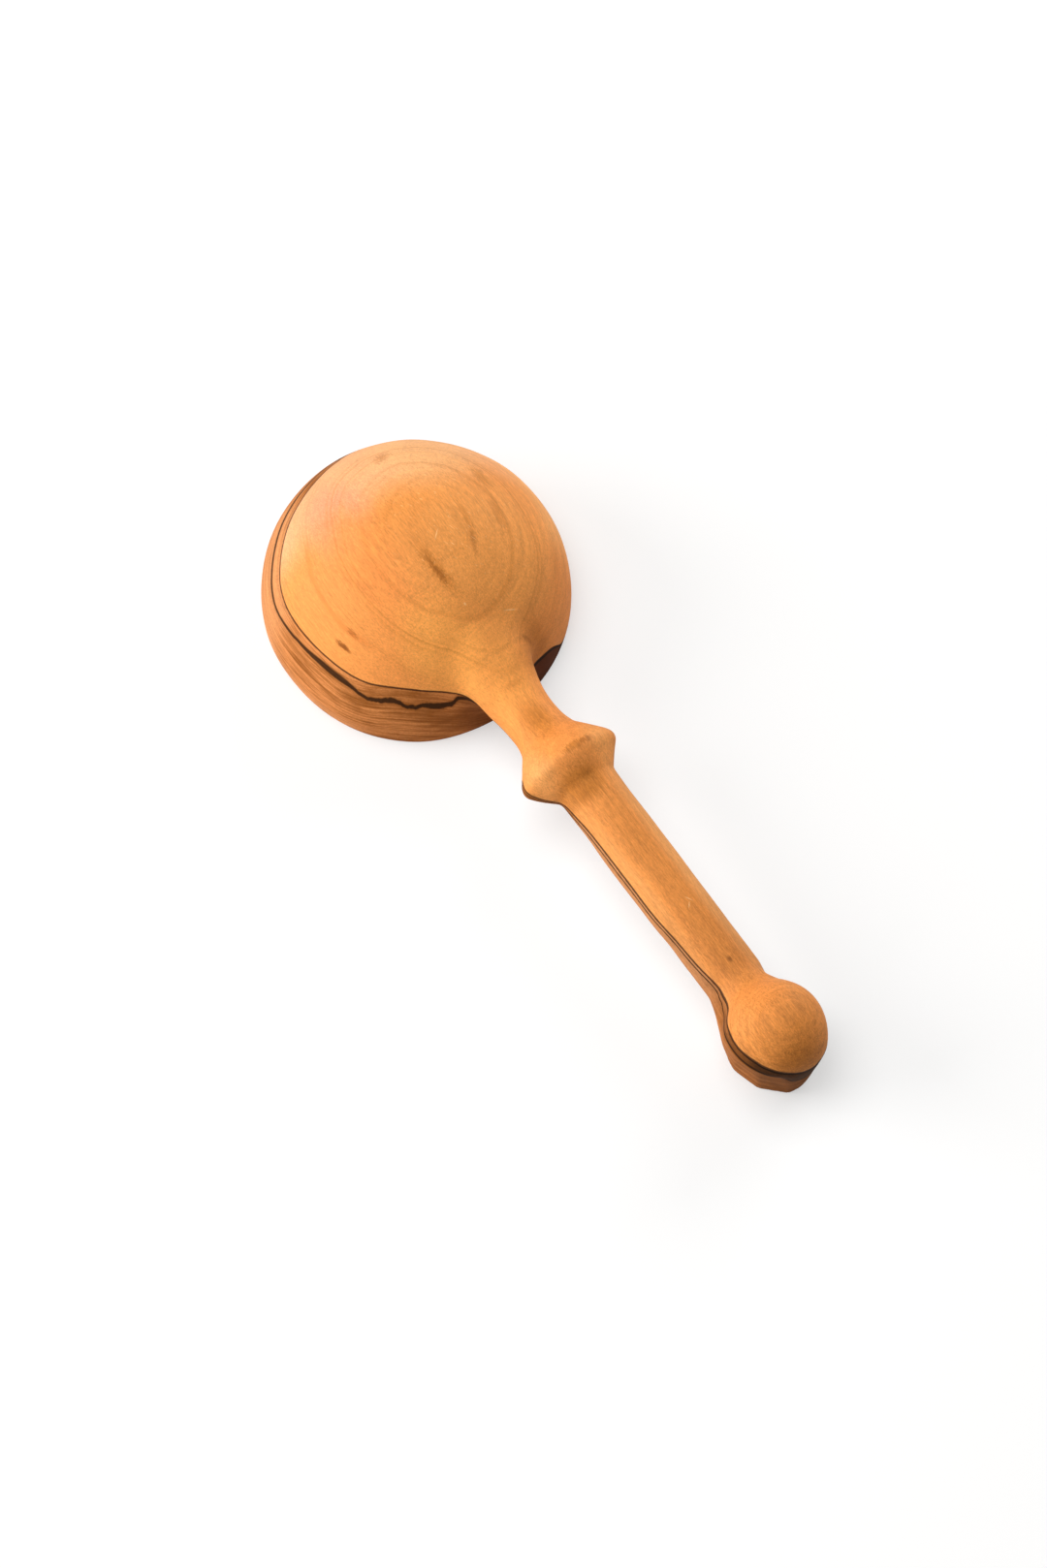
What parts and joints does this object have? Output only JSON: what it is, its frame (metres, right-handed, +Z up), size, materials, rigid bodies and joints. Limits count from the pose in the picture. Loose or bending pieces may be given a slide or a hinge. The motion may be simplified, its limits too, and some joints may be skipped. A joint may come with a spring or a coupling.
{
  "type": "wooden scoop",
  "caption": "Hand-carved one-piece wooden scoop with a round bowl, waisted neck, ridged collar, slim grip and round end knob, shown bowl-down.",
  "frame": {"origin": "on the floor plane, midway along the scoop's length, in its mirror plane", "axes": "+X from the bowl to the knob, +Z up out of the dome's crown while the scoop stands bowl-down"},
  "size_m": [0.1534, 0.06, 0.0315],
  "materials": {
    "wood": "oiled satin, fine sanding scratches, honey-coloured wood over a browner layer with near-black lines between them"
  },
  "bodies": {
    "root": {"scoop": "wood"}
  },
  "joints": []
}
